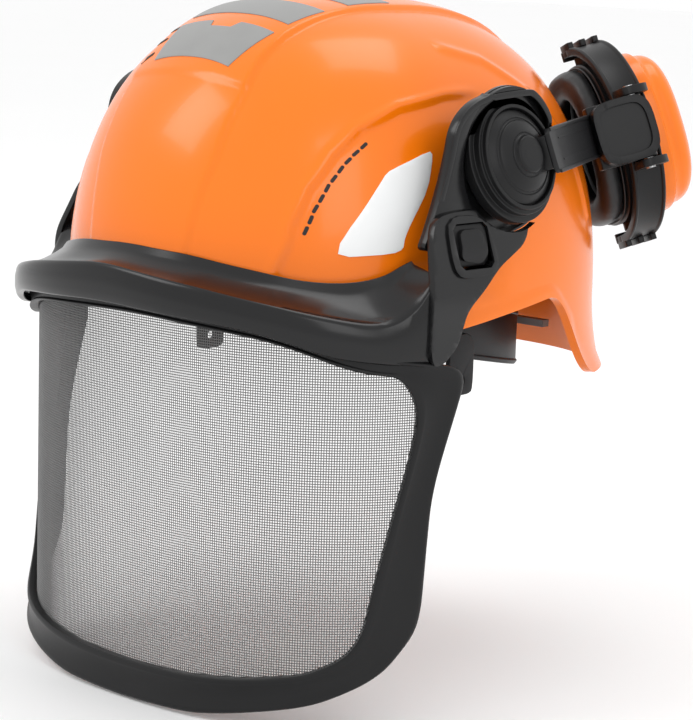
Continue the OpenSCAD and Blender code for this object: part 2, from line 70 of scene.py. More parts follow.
def rim_z(y):
    """Height of the shell's rim where the plan reaches y: neck guard behind, raised under the peak."""
    side_rim = 4.5 - 0.13 * (43 - max(-30, min(43, y)))
    return float(side_rim - (DROP + 4.5) * ease(46, 98, y) + 20 * ease(-62, -104, y))


def shell_at(a, z, off=0.0):
    s = shrink(z)
    return plan(a, HALF_W * s + off, FRONT * s + off, REAR * s + off, NF, NR)


def lerp_table(x, table):
    return float(np.interp(x, [t[0] for t in table], [t[1] for t in table]))


def soft_table(x, table, width):
    """Table value at |x|, averaged over the width so that its corners are rounded."""
    return sum(lerp_table(abs(x + width * k / 4), table) for k in range(-4, 5)) / 9


def polyline_distance(u, v, line):
    """Distance from points to a polyline, and the side: positive to the right of its direction."""
    best = np.full(u.shape, 1e9)
    side = np.zeros(u.shape)
    for (u0, v0), (u1, v1) in zip(line[:-1], line[1:]):
        du, dv = u1 - u0, v1 - v0
        t = np.clip(((u - u0) * du + (v - v0) * dv) / (du * du + dv * dv), 0, 1)
        d = np.hypot(u - u0 - t * du, v - v0 - t * dv)
        near = d < best
        best = np.where(near, d, best)
        side = np.where(near, (u - u0) * dv - (v - v0) * du, side)
    return best, side


SIDE_RIDGE = [(-108, 22), (-102, 38), (-100, 46), (-92, 62), (-79.5, 77), (-66, 88), (-43.5, 97),
    (-14, 102), (10, 103)]
REAR_LIP = [(0, 124), (25, 118), (55, 101), (80, 74), (92, 40)]
PANEL_W = [(8, 30), (25, 34.5), (32, 37.5), (46, 38), (54, 35), (62, 35), (90, 38.5), (115, 39), (150, 30)]


def relief(x, y, z):
    """How far the outer face of the shell stands out from its smooth form, in mm."""
    g = np.degrees(np.arctan2(z, -y))
    w = np.interp(g, [p[0] for p in PANEL_W], [p[1] for p in PANEL_W])
    inside = 1 - ease(-1.3, 1.3, np.abs(x) - w)
    out = 1.5 * inside * ease(9, 15, g) * (1 - ease(138, 152, g))
    out += 0.8 * inside * ease(46.6, 48.2, g) * (1 - ease(132, 150, g))
    d, side = polyline_distance(y, z, SIDE_RIDGE)
    sd = np.where(side > 0, d, -d)
    zone = ease(60, 68, np.abs(x)) * (1 - ease(-6, 14, y)) * ease(6, 14, z + 0 * y)
    out -= 2.0 * ease(-0.9, 1.3, sd) * zone
    out += 0.7 * np.exp(-((sd + 2.2) / 1.5) ** 2) * zone
    d, _ = polyline_distance(y, z, REAR_LIP)
    out += 1.3 * np.exp(-(d / 2.2) ** 2) * ease(38, 46, np.abs(x)) * ease(-8, 6, y)
    return out


# ---------- mesh helpers ----------
def fresh(name, verts, faces, smooth=True, angle=40):
    me = bpy.data.meshes.new(name)
    me.from_pydata([tuple(float(c) * MM for c in v) for v in verts], [], faces)
    me.validate()
    bm = bmesh.new()
    bm.from_mesh(me)
    bmesh.ops.remove_doubles(bm, verts=bm.verts, dist=1e-6)
    bmesh.ops.recalc_face_normals(bm, faces=bm.faces)
    bm.to_mesh(me)
    bm.free()
    o = bpy.data.objects.new(name, me)
    scene.collection.objects.link(o)
    if smooth:
        me.shade_smooth()
        me.set_sharp_from_angle(angle=math.radians(angle))
    return o


def bake(o, angle=40):
    """Apply the modifiers."""
    dg = bpy.context.evaluated_depsgraph_get()
    dg.update()
    me = bpy.data.meshes.new_from_object(o.evaluated_get(dg))
    o.modifiers.clear()
    old = o.data
    o.data = me
    bpy.data.meshes.remove(old)
    me.shade_smooth()
    me.set_sharp_from_angle(angle=math.radians(angle))
    return o


def bevel(o, width=0.8, segments=3, angle=45, finish_angle=50):
    m = o.modifiers.new("bevel", "BEVEL")
    m.width = width * MM
    m.segments = segments
    m.limit_method = "ANGLE"
    m.angle_limit = math.radians(angle)
    m.use_clamp_overlap = True
    return bake(o, finish_angle)


def loft(name, rings, closed=True, cap=True, loop=False, angle=40):
    n, m = len(rings), len(rings[0])
    verts = [p for r in rings for p in r]
    faces = []
    for i in range(n if loop else n - 1):
        i2 = (i + 1) % n
        for k in range(m if closed else m - 1):
            k2 = (k + 1) % m
            faces.append((i * m + k, i * m + k2, i2 * m + k2, i2 * m + k))
    if cap and not loop:
        faces.append(tuple(range(m))[::-1])
        faces.append(tuple((n - 1) * m + k for k in range(m)))
    return fresh(name, verts, faces, angle=angle)


def lathe(name, profile, steps=96, angle=30):
    """Profile of (radius, x) turned about the x axis; ends on the axis close it."""
    rings = []
    for r, x in profile:
        r = max(r, 1e-4)
        turns = [2 * math.pi * k / steps for k in range(steps)]
        rings.append([(x, r * math.cos(t), r * math.sin(t)) for t in turns])
    return loft(name, rings, angle=angle)


def round_profile(profile, radius=0.6, steps=4):
    """Round the corners of an open profile."""
    out = [profile[0]]
    for a, b, c in zip(profile[:-2], profile[1:-1], profile[2:]):
        a, b, c = Vector(a), Vector(b), Vector(c)
        r = min(radius, (a - b).length * 0.45, (c - b).length * 0.45)
        p, q = b + (a - b).normalized() * r, b + (c - b).normalized() * r
        for i in range(steps + 1):
            t = i / steps
            out.append(tuple((1 - t) ** 2 * p + 2 * t * (1 - t) * b + t * t * q))
    out.append(profile[-1])
    return out


def chaikin(points, times=2, keep=0.25):
    for _ in range(times):
        out = []
        for a, b in zip(points, points[1:] + points[:1]):
            out.append(tuple(a[i] + keep * (b[i] - a[i]) for i in range(len(a))))
            out.append(tuple(b[i] + keep * (a[i] - b[i]) for i in range(len(a))))
        points = out
    return points


def circle(cu, cv, r, n=72):
    return [(cu + r * math.cos(2 * math.pi * k / n),
        cv + r * math.sin(2 * math.pi * k / n)) for k in range(n)]


def slab(name, loops, top, bottom, step=None, edge=0.8, segments=3):
    """A plate from 2-D loops (the first outside, the rest holes); top and bottom map (u, v) to 3-D."""
    bm = bmesh.new()
    edges = []
    for loop in loops:
        vs = [bm.verts.new((u, v, 0)) for u, v in loop]
        edges += [bm.edges.new((a, b)) for a, b in zip(vs, vs[1:] + vs[:1])]
    bmesh.ops.triangle_fill(bm, edges=edges, use_beauty=True)
    if step:
        us = [p[0] for p in loops[0]]
        vs = [p[1] for p in loops[0]]
        for axis, lo, hi in ((0, min(us), max(us)), (1, min(vs), max(vs))):
            k = math.floor(lo / step) + 1
            while k * step < hi - 0.05:
                co = [0, 0, 0]
                no = [0, 0, 0]
                co[axis] = k * step
                no[axis] = 1
                everything = bm.verts[:] + bm.edges[:] + bm.faces[:]
                bmesh.ops.bisect_plane(bm, geom=everything, dist=1e-4, plane_co=co, plane_no=no)
                k += 1
    bm.verts.index_update()
    flat = [(v.co.x, v.co.y) for v in bm.verts]
    n = len(flat)
    faces = [tuple(v.index for v in f.verts) for f in bm.faces]
    walls = [(e.verts[0].index, e.verts[1].index) for e in bm.edges if len(e.link_faces) == 1]
    bm.free()
    verts = [top(u, v) for u, v in flat] + [bottom(u, v) for u, v in flat]
    faces = faces + [tuple(n + k for k in f[::-1]) for f in faces] + [(a, b, b + n, a + n) for a, b in walls]
    o = fresh(name, verts, faces)
    if edge:
        bevel(o, edge, segments)
    return o


def rectangle(u0, v0, u1, v1):
    return [(u0, v0), (u1, v0), (u1, v1), (u0, v1)]


def flat(name, loops, low, high, edge=0.6):
    """A plate lying across z, between two heights."""
    return slab(name, loops, lambda u, v: (u, v, high), lambda u, v: (u, v, low), None, edge)


def upright(name, loops, low, high, edge=0.6):
    """A plate standing across x, drawn in y and z."""
    return slab(name, loops, lambda u, v: (high, u, v), lambda u, v: (low, u, v), None, edge)


def across(name, loops, low, high, edge=0.6, z=0.0):
    """A plate standing across y, drawn in x and in z from the height given."""
    return slab(name, loops, lambda u, v: (u, high, z + v), lambda u, v: (u, low, z + v), None, edge)


def tube(name, path, radius, sides=12, closed=False):
    """A round cord along a path of 3-D points."""
    path = [Vector(p) for p in path]
    n = len(path)
    rings = []
    up = None
    for i, p in enumerate(path):
        a = path[(i - 1) % n] if closed or i else p
        b = path[(i + 1) % n] if closed or i < n - 1 else p
        t = (b - a).normalized()
        if up is None:
            up = t.orthogonal().normalized()
        up = (up - t * up.dot(t)).normalized()
        other = t.cross(up)
        turns = [2 * math.pi * k / sides for k in range(sides)]
        rings.append([tuple(p + radius * (math.cos(q) * up + math.sin(q) * other)) for q in turns])
    return loft(name, rings, cap=not closed, loop=closed, angle=60)


def join(name, objs, angle=50):
    """One mesh from several."""
    bm = bmesh.new()
    for o in objs:
        me = o.data.copy()
        me.transform(o.matrix_world)
        bm.from_mesh(me)
        bpy.data.meshes.remove(me)
    me = bpy.data.meshes.new(name)
    bm.to_mesh(me)
    bm.free()
    for o in objs:
        old = o.data
        bpy.data.objects.remove(o)
        bpy.data.meshes.remove(old)
    o = bpy.data.objects.new(name, me)
    scene.collection.objects.link(o)
    me.shade_smooth()
    me.set_sharp_from_angle(angle=math.radians(angle))
    return o


def place(o, matrix):
    """Move the mesh by a matrix whose translation is in mm."""
    m = matrix.copy()
    m.translation = m.translation * MM
    o.data.transform(m)
    return o


def mirrored(o, name):
    me = o.data.copy()
    me.transform(Matrix.Scale(-1, 4, (1, 0, 0)))
    me.flip_normals()
    c = bpy.data.objects.new(name, me)
    scene.collection.objects.link(c)
    return c


def own(o, body, slot, mat, *nodes):
    """Give the piece its material and body, and hide the CAD nodes it stands for. The slot is not used."""
    o.data.materials.clear()
    o.data.materials.append(mat)
    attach(o, body)
    if nodes:
        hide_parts(*nodes)
    return o


def pair(o, body, slot, mat, *nodes):
    """The left piece and its mirror. Body and node names end in l/left and become r/right."""
    name = o.name
    o.name = name + "_left"
    c = mirrored(o, name + "_right")
    swap = lambda b: b[:-1] + "r" if b.endswith("_l") else b
    own(o, body, slot, mat, *[n + "_left" for n in nodes])
    own(c, swap(body), slot, mat, *[n + "_right" for n in nodes])
    return o, c


def turn(degrees, axis):
    return Matrix.Rotation(math.radians(degrees), 4, axis)


# ---------- materials ----------
def paint(name, base, rough, vary=0.08, scale=25.0, bump=0.05, grain=1400.0, coat=0.0, metal=0.0,
    rough_vary=0.06,
          bump_distance=0.0002, wave=None, sheen=0.0, specular=0.5):
    """Procedural finish: broad colour and gloss drift, fine grain, and a weave when wave is given."""
    m = bpy.data.materials.new(name)
    m.use_nodes = True
    nt = m.node_tree
    bsdf = nt.nodes["Principled BSDF"]
    co = nt.nodes.new("ShaderNodeTexCoord")
    broad = nt.nodes.new("ShaderNodeTexNoise")
    broad.inputs["Scale"].default_value = scale
    broad.inputs["Detail"].default_value = 5.0
    nt.links.new(co.outputs["Object"], broad.inputs["Vector"])
    mix = nt.nodes.new("ShaderNodeMix")
    mix.data_type = "RGBA"
    mix.inputs[6].default_value = (*[c * (1 - vary) for c in base], 1)
    mix.inputs[7].default_value = (*[min(1, c * (1 + vary)) for c in base], 1)
    nt.links.new(broad.outputs["Fac"], mix.inputs[0])
    colour = mix.outputs[2]
    rng = nt.nodes.new("ShaderNodeMapRange")
    rng.inputs["To Min"].default_value = max(0.02, rough - rough_vary)
    rng.inputs["To Max"].default_value = min(1, rough + rough_vary)
    nt.links.new(broad.outputs["Fac"], rng.inputs["Value"])
    nt.links.new(rng.outputs["Result"], bsdf.inputs["Roughness"])
    fine = nt.nodes.new("ShaderNodeTexNoise")
    fine.inputs["Scale"].default_value = grain
    fine.inputs["Detail"].default_value = 3.0
    nt.links.new(co.outputs["Object"], fine.inputs["Vector"])
    height = fine.outputs["Fac"]
    if wave:
        bands = nt.nodes.new("ShaderNodeTexWave")
        bands.inputs["Scale"].default_value = wave
        bands.bands_direction = "DIAGONAL"
        bands.inputs["Distortion"].default_value = 0.6
        nt.links.new(co.outputs["Object"], bands.inputs["Vector"])
        both = nt.nodes.new("ShaderNodeMath")
        both.operation = "ADD"
        nt.links.new(height, both.inputs[0])
        nt.links.new(bands.outputs["Fac"], both.inputs[1])
        height = both.outputs[0]
        dark = nt.nodes.new("ShaderNodeMix")
        dark.data_type = "RGBA"
        dark.inputs[7].default_value = (*[c * 1.5 for c in base], 1)
        nt.links.new(colour, dark.inputs[6])
        nt.links.new(bands.outputs["Fac"], dark.inputs[0])
        colour = dark.outputs[2]
    nt.links.new(colour, bsdf.inputs["Base Color"])
    bmp = nt.nodes.new("ShaderNodeBump")
    bmp.inputs["Strength"].default_value = bump
    bmp.inputs["Distance"].default_value = bump_distance
    nt.links.new(height, bmp.inputs["Height"])
    nt.links.new(bmp.outputs["Normal"], bsdf.inputs["Normal"])
    bsdf.inputs["Coat Weight"].default_value = coat
    bsdf.inputs["Coat Roughness"].default_value = 0.08
    bsdf.inputs["Metallic"].default_value = metal
    bsdf.inputs["Sheen Weight"].default_value = sheen
    bsdf.inputs["Specular IOR Level"].default_value = specular
    return m


ORANGE = paint("orange_abs", (0.91, 0.185, 0.002), 0.24, vary=0.03, scale=18, bump=0.02, grain=900,
    coat=0.2, rough_vary=0.04, specular=0.35)
GREY = paint("grey_reflective", (0.27, 0.27, 0.265), 0.42, vary=0.08, scale=90, bump=0.25, grain=2600)
WHITE = paint("white_reflective", (0.86, 0.87, 0.87), 0.38, vary=0.03, scale=60, bump=0.25, grain=2600)
GLOSS = paint("black_semi_gloss", (0.006, 0.006, 0.0065), 0.2, vary=0.2, scale=30, bump=0.04, grain=1200,
    rough_vary=0.05, specular=0.35)
SATIN = paint("black_satin", (0.008, 0.008, 0.0085), 0.38, vary=0.2, scale=40, bump=0.16, grain=1800,
    specular=0.25)
BAND = paint("black_band", (0.01, 0.01, 0.011), 0.45, vary=0.2, scale=40, bump=0.1, grain=1500, specular=0.25)
STRIP = paint("strip_satin", (0.011, 0.011, 0.012), 0.36, vary=0.15, scale=40, bump=0.12, grain=1700,
    specular=0.3)
NYLON = paint("grey_nylon", (0.22, 0.22, 0.22), 0.5, vary=0.1, scale=60, bump=0.1, grain=1500)
STEEL = paint("zinc_steel", (0.55, 0.55, 0.56), 0.32, vary=0.1, scale=80, bump=0.1, grain=2500, metal=1.0)
DARK_STEEL = paint("dark_rivet", (0.06, 0.06, 0.062), 0.35, vary=0.15, scale=80, bump=0.1, grain=2500,
    metal=0.6)
WIRE = paint("painted_wire", (0.16, 0.16, 0.16), 0.42, vary=0.12, scale=40, bump=0.05, grain=4000)
WEBBING = paint("webbing_weave", (0.02, 0.02, 0.023), 0.8, vary=0.2, scale=80, bump=0.5, grain=3000,
    wave=520.0, sheen=0.2)
FABRIC = paint("pad_cloth", (0.022, 0.022, 0.023), 0.85, vary=0.25, scale=70, bump=0.6, grain=2600,
    wave=640.0, sheen=0.25)
VINYL = paint("cushion_vinyl", (0.012, 0.012, 0.013), 0.42, vary=0.2, scale=50, bump=0.35, grain=1500,
    bump_distance=0.0003)
FOAM = paint("liner_foam", (0.035, 0.035, 0.036), 0.95, vary=0.3, scale=300, bump=0.9, grain=900,
    bump_distance=0.0008)
# painted shade: near-black for the shade inside the vent openings, laid on the shell as patches
VENT_SHADE = paint("vent_painted_shade", (0.006, 0.006, 0.006), 0.6, vary=0.2, scale=60, bump=0.1, grain=1500)


# ---------- shell ----------
def shell_point(a, t, inset=0.0):
    """Outer (or inset) face; t runs from the rim, 0, to the crown, 1. Same form as the solid part."""
    h = HEIGHT - inset
    z_t = h * math.sin(math.radians(89.6 * t)) ** (2 / P_UP)
    x0, y0 = plan(a, HALF_W, FRONT, REAR, NF, NR)
    zr = rim_z(y0)
    z = z_t if z_t >= 25 else zr + (25 - zr) * z_t / 25
    s = (1 - min(1, z / h) ** P_UP) ** (1 / P_OUT) if z > 0 else 1.0
    f = 6 * (max(0, -z) / DROP) ** 2 * float(ease(100, 150, a if a < 180 else 360 - a))
    x, y = plan(a, (HALF_W - inset) * s + f, (FRONT - inset) * s + f, (REAR - inset) * s + f, NF, NR)
    return x, y, z


def grid_normals(p):
    du = np.roll(p, -1, 1) - np.roll(p, 1, 1)
    dv = np.gradient(p, axis=0)
    n = np.cross(du, dv)
    n /= np.linalg.norm(n, axis=2, keepdims=True) + 1e-12
    c = p.mean((0, 1))
    return n if ((p - c) * n).sum() > 0 else -n


def build_shell():
    cols, rows, inner_rows = 420, 150, 44
    ts = [(i / rows) for i in range(rows + 1)]
    outer = np.array([[shell_point(360 * k / cols, t) for k in range(cols)] for t in ts])
    n = grid_normals(outer)
    d = relief(outer[..., 0], outer[..., 1], outer[..., 2])
    rim = np.array([rim_z(outer[0, k, 1]) for k in range(cols)])
    above = outer[..., 2] - rim[None, :]
    d = d + 1.1 * (1 - ease(4.0, 5.6, above))
    d[-4:] = d[-4:].mean()
    outer = outer + n * d[..., None]
    inner = np.array([[shell_point(360 * k / cols, i / inner_rows, WALL) for k in range(cols)]
        for i in range(inner_rows + 1)])
    rings = [list(map(tuple, r)) for r in outer[::-1]] + [list(map(tuple, r)) for r in inner]
    o = loft("shell_body", rings, angle=50)
    return own(o, "helmet", "shell_plastic", ORANGE, "shell")


build_shell()


def on_face(height, u, v, axis, off):
    """Point on a face given as a height over two coordinates, moved along its normal by the relief and off."""
    e = 0.4
    h = height(u, v)
    hu = (height(u + e, v) - height(u - e, v)) / (2 * e)
    hv = (height(u, v + e) - height(u, v - e)) / (2 * e)
    n = Vector((1, -hu, -hv)) if axis == "x" else Vector((-hu, -hv, 1))
    p = Vector((h, u, v)) if axis == "x" else Vector((u, v, h))
    lift = off + float(relief(np.array(p.x), np.array(p.y), np.array(p.z)))
    return tuple(p + n.normalized() * lift)


def side_plain(y, z):
    s = shrink(z)
    half, n, length = HALF_W * s, (NF if y < 0 else NR), (FRONT if y < 0 else REAR) * s
    return half * max(0.0, 1 - (abs(y) / length) ** n) ** (1 / n)


def crown_plain(x, y):
    n, length = (NF, FRONT) if y < 0 else (NR, REAR)
    s = (abs(x / HALF_W) ** n + abs(y / length) ** n) ** (1 / n)
    return HEIGHT * (1 - s ** P_OUT) ** (1 / P_UP)


def on_side(y, z, off):
    return on_face(side_plain, y, z, "x", off)


def on_crown(x, y, off):
    return on_face(crown_plain, x, y, "z", off)


def capsule(cu, cv, length, width, angle, n=8):
    """Outline of a slot with round ends."""
    c, s = math.cos(angle), math.sin(angle)
    pts = []
    for sign in (1, -1):
        for k in range(n + 1):
            t = math.pi * (k / n - 0.5)
            p = sign * (length / 2 - width / 2 + width / 2 * math.cos(t))
            q = sign * width / 2 * math.sin(t)
            pts.append((cu + p * c - q * s, cv + p * s + q * c))
    return pts


def patch(name, outline, surface, thick, lift, step=4.0, edge=0.15):
    """A thin plate that follows the shell's face, its outside lifted off it."""
    return slab(name, [outline], lambda u, v: surface(u, v, lift),
        lambda u, v: surface(u, v, lift - thick), step, edge, 2)


# vents along the side ridge: near-black patches stand in for the openings, their black is painted shade inside
# the slots
VENT_LINE = [(-98.6, 43), (-93, 55), (-86, 66), (-78, 75), (-72, 80), (-65, 85)]
VENTS, VENT_SHIFT = 10, 1.5
lengths = [0.0]
for p, q in zip(VENT_LINE[:-1], VENT_LINE[1:]):
    lengths.append(lengths[-1] + math.dist(p, q))


def vent_at(s):
    """Point of the vent row at a length along it, shifted down and back from the ridge."""
    return (float(np.interp(s, lengths, [p[0] for p in VENT_LINE])) + VENT_SHIFT,
        float(np.interp(s, lengths, [p[1] for p in VENT_LINE])) - VENT_SHIFT)


vents = []
for i in range(VENTS):
    s = lengths[-1] * (i + 0.5) / VENTS
    (y, z), (y2, z2) = vent_at(s), vent_at(s + 1)
    slot = capsule(y, z, 4.4, 1.4, math.atan2(z2 - z, y2 - y))
    vents.append(patch("vent", slot, on_side, 1.2, 0.18, 2.0, 0.0))
o = join("side_vents", vents)
pair(o, "helmet", "black_satin", VENT_SHADE)
# three short vents beside the front reflector, on the wearer's right, likewise near-black patches of painted
# shade
slots = [capsule(-33.0, -90 + 8.5 * i, 7.0, 2.0, math.radians(20)) for i in range(3)]
vents = [patch("vent", slot, on_crown, 1.2, 0.2, 2.0, 0.0) for slot in slots]
own(join("crown_vents", vents), "helmet", "black_satin", VENT_SHADE)


def reflector(name, y0, y1, w0, w1, node, notch=False):
    """A grey patch across the crown, half width w0 at y0 to w1 at y1."""
    pts = [(-w0, y0), (w0, y0)]
    pts += [(w0 + (w1 - w0) * t, y0 + (y1 - y0) * t) for t in (0.33, 0.66)] + [(w1, y1)]
    if notch:
        pts += [(9, y1), (6.5, y1 - 4.5), (-6.5, y1 - 4.5), (-9, y1)]
    pts += [(-w1, y1)]
    o = patch(name, pts, on_crown, 1.0, 0.4, 2.5, 0.3)
    own(o, "helmet", "grey_reflector", GREY, node)


reflector("front_patch", -94, -71, 24, 30, "crown_reflector_front", True)
reflector("middle_patch", -63, -42, 31, 34, "crown_reflector_middle")
reflector("rear_patch", -26, 2, 34, 35, "crown_reflector_rear")
SIDE_PATCH = [(-85, 32), (-83, 40), (-60, 68), (-56, 71), (-33, 79), (-31.5, 77), (-38, 62), (-49.6, 46.7),
    (-53.5, 40), (-54.7, 35), (-60, 33)]
o = patch("side_patch", chaikin(SIDE_PATCH, 1, 0.2), on_side, 1.0, 0.45, 3.0, 0.3)
pair(o, "helmet", "white_reflector", WHITE, "side_reflector")

# ---------- peak ----------
TOP = [(0, 24.5), (22, 18), (39, 11.7), (55, 5), (60, 3.4), (64, 4.4), (68, 8.5), (71, 15.4), (74.5, 28.5)]
BOT = [(0, 7.7), (22, 4.5), (31, 2.4), (41, -2.8), (49, -8.4), (55, -10.8), (61, -12.5), (69, -14.6),
    (75, -15)]
SEAT = [(0, 32.5), (18, 30.5), (35, 25.3), (47, 21), (57, 19.8), (65, 21.3), (71, 25.3), (74.5, 31)]
PEAK_Y, WALL_T = -15.0, 3.5


def peak_at(a, off=0.0):
    x, y = plan(a, 130 + off, 136.2 + off, 200, 2.4, 2.4)
    return x, y + PEAK_Y


def screen_at(a, off=0.0):
    x, y = plan(a, 131 + off, 118 + off, 200, 2.6, 2.6)
    return x, y + PEAK_Y


def bot_z(a):
    return soft_table(a, BOT, 4)


def peak_ring(a):
    """Section of the peak: seat on the shell, dished top, rolled edge, wall and underside."""
    zi, zt, zb = soft_table(a, SEAT, 4), soft_table(a, TOP, 2.5), bot_z(a)
    seat = shell_at(a * 0.92, zi, 1.0)
    under = shell_at(a * 0.92, zi - 3.5, 1.0)
    out, inn = peak_at(a), peak_at(a, -WALL_T)
    mix = lambda p, q, t: (p[0] + (q[0] - p[0]) * t, p[1] + (q[1] - p[1]) * t)
    rise = 1 - float(ease(55, 70, abs(a)))
    pts = [(*seat, zi), (*mix(seat, out, 0.05), zi + 0.9)]
    for t in (0.14, 0.3, 0.5, 0.7, 0.84):
        pts.append((*mix(seat, out, t), zi + (zt - zi) * t - 2.0 * math.sin(math.pi * t) * rise))
    pts.append((*mix(seat, out, 0.91), zt + 0.7 * rise + (zi - zt) * 0.09))
    pts += [(*mix(seat, out, 0.97), zt + 0.6 * rise), (*out, zt - 1.0)]
    mid = peak_at(a, 0.7)
    pts += [(*mid, zt + (zb - zt) * 0.35), (*mid, zt + (zb - zt) * 0.7)]
    pts += [(*out, zb + 1.0), (*peak_at(a, -0.8), zb)]
    top = min(zt - 3, zi - 5)
    pts += [(*inn, zb), (*inn, (zb + top) / 2), (*inn, top)]
    pts += [(*mix(inn, under, 0.5), (top + zi - 4) / 2), (*under, zi - 4)]
    return pts


PEAK_END = 74.5
peak = loft("peak", [peak_ring(-PEAK_END + 2 * PEAK_END * i / 150) for i in range(151)], angle=38)
bevel(peak, 0.5, 2, 40)

# side arms
PLATE = [(-61, 33), (-55, 45), (-48, 62), (-43, 78), (-40, 92), (-30, 101), (-18, 105), (0, 106.5),
    (16, 107), (27, 104), (30, 97), (30, 84),
    (26, 62), (14, 49), (0, 44), (-20, 42)]
ARM = [(-63, 31), (-57, 50), (-44, 53), (-14, 53), (14, 52), (11, 45), (5, 36), (-7, 31), (-19, 26),
    (-31, 17), (-42, 9), (-45, 0), (-48, -7),
    (-53, -11), (-58, -14.5), (-66, -14.8), (-66, 5), (-66, 20)]
TILT = math.radians(17)
VISOR_Z = 75
SKIN_X, SLOPE_Z = 127.9, 19
PLATE_BACK, PLATE_FACE, WEB_FACE = 110.6, 115, 112.4
# radii about the visor axis: arch outside and inside, recess round the collar, visor bearing
ARCH_R, ARCH_IN_R, RECESS_R, SKIN_R, BEARING_R = 35, 34.8, 33.6, 34, 13.06
RIDGE_LOW = 58
BUTTON_Y, BUTTON_Z = -34.0, 37.5


def skin_x(y, z):
    """Outer face of the lower arm: sloping above, upright below, with a soft crease."""
    slope = SKIN_X - (z - SLOPE_Z) * math.tan(TILT)
    k = 3.0
    lower = -k * math.log(math.exp(-slope / k) + math.exp(-SKIN_X / k))
    return lower + k * math.log(2) * math.exp(-((z - SLOPE_Z) / 14) ** 2)


def button_face_at(rise, limit):
    """Mapping for the button's loops, drawn about its centre: off the arm's skin up to a limit."""
    return lambda u, v: (min(skin_x(BUTTON_Y + u, BUTTON_Z + v) + rise, limit), BUTTON_Y + u, BUTTON_Z + v)


def button_back_at(x):
    return lambda u, v: (x, BUTTON_Y + u, BUTTON_Z + v)


def arm_parts():
    def scaled(u, v, k):
        return u * k, VISOR_Z + (v - VISOR_Z) * k

    def arch_scale(u, v):
        r = math.hypot(u, v - VISOR_Z)
        return min(1, ARCH_R / r) if v > VISOR_Z and u > -16 else max(1, ARCH_IN_R / r)

    outline = [scaled(u, v, arch_scale(u, v)) for u, v in chaikin(PLATE, 3)]
    plate = upright("plate", [outline, circle(0, VISOR_Z, RECESS_R)], PLATE_BACK, PLATE_FACE, 0.9)
    web_loops = [circle(0, VISOR_Z, RECESS_R + 0.3), circle(0, VISOR_Z, BEARING_R, 60)]
    web = upright("web", web_loops, PLATE_BACK, WEB_FACE, 0)
    inner = []
    for u, v in outline:
        k = min(1, 3.2 / math.hypot(u, v - VISOR_Z))
        inner.append((u - k * u, v - k * (v - VISOR_Z)))
    ridge = upright("ridge", [outline, inner], PLATE_FACE - 0.6, PLATE_FACE + 1.0)
    # keep the raised border to the arch: drop what lies below it
    bm = bmesh.new()
    bm.from_mesh(ridge.data)
    bmesh.ops.bisect_plane(bm, geom=bm.verts[:] + bm.edges[:] + bm.faces[:],
        plane_co=(0, 0, RIDGE_LOW * MM), plane_no=(0, 0, -1), clear_outer=True)
    bmesh.ops.holes_fill(bm, edges=[e for e in bm.edges if len(e.link_faces) == 1], sides=0)
    bm.to_mesh(ridge.data)
    bm.free()
    opening = [(BUTTON_Y + u, BUTTON_Z + v) for u, v in rectangle(-12.2, -10.2, 12.2, 10.2)]
    opening = chaikin(opening, 1, 0.12)
    # the skin stops at the recess, so the collar stays clear when the visor is up
    skin_outline = [scaled(u, v, max(1, SKIN_R / math.hypot(u, v - VISOR_Z))) for u, v in chaikin(ARM, 3)]
    skin = slab("skin", [skin_outline, opening], lambda u, v: (skin_x(u, v), u, v),
        lambda u, v: (skin_x(u, v) - WALL_T, u, v), 4.0, 1.0)
    bezel_shape = ((-17, -9), (-12, -14), (12, -13), (16, -6), (12, 13), (-15, 14))
    bezel_outline = chaikin([(BUTTON_Y + u, BUTTON_Z + v) for u, v in bezel_shape], 2, 0.2)
    bezel = slab("bezel", [bezel_outline, opening], lambda u, v: (skin_x(u, v) + 1.3, u, v),
        lambda u, v: (112.0, u, v), 5.0, 0.9)
    return [plate, web, ridge, skin, bezel]


left = join("arms", arm_parts())
right = mirrored(left, "arms_right")
carrier = join("peak_and_arms", [peak, left, right], 45)
own(carrier, "visor", "black_gloss", GLOSS, "visor_peak", "visor_arm_left", "visor_arm_right")

button = slab("button", [chaikin(rectangle(-11.6, -9.6, 11.6, 9.6), 1, 0.1)],
    button_face_at(0.2, 122.6), button_back_at(113.8), 4.0, 0.8)
face = slab("button_face", [chaikin([(-9, 7.5), (6, 7.5), (9.5, -4), (5, -8.5), (-9.5, -6)], 2, 0.15)],
    button_face_at(2.3, 124.6), button_back_at(118), 4.0, 0.9)
pair(join("release_button", [button, face]), "button_l", "black_satin", SATIN, "visor_button")

# ---------- screen ----------
SILL = [(0, -165), (11, -164.3), (25, -161.4), (41, -157), (50, -150), (53, -146)]
HEM = [(0, -183), (13.6, -182), (21.7, -179), (29.5, -176), (37.9, -173), (44.7, -170), (50.2, -166),
    (56.6, -161), (62, -155)]
JAMB = [(-146, 53), (-137, 56), (-112, 59), (-86, 62.6), (-64, 66), (-48, 68), (-35, 69), (-25, 66.5),
    (-18, 63)]
REAR_EDGE = [(-155, 62), (-147, 65.8), (-138, 69.8), (-127, 71.1), (-101, 71.9), (-79, 72.7), (-67, 73.9),
    (-54, 75.8), (-41, 77.9), (-28, 79.9),
    (-20, 81), (-15.6, 78)]


FRAME_T = 3.4
WIRE_PITCH, WIRE_R, WIRE_OFF = 1.2, 0.23, -3.8
LEVELS_FROM, LEVELS_TO = -168.0, 6
FINE, SKIP = 1600, 10


def resample(points, n):
    """Even steps along an open line of (angle, z), with an angle counted double."""
    d = [0.0]
    for p, q in zip(points[:-1], points[1:]):
        d.append(d[-1] + math.hypot((q[0] - p[0]) * 2.0, q[1] - p[1]))
    s = np.linspace(0, d[-1], n)
    return list(zip(np.interp(s, d, [p[0] for p in points]), np.interp(s, d, [p[1] for p in points])))


def smooth_open(points, times=6):
    p = np.array(points, float)
    for _ in range(times):
        q = p.copy()
        q[1:-1] = (p[:-2] + 2 * p[1:-1] + p[2:]) / 4
        p = q
    return [tuple(v) for v in p]


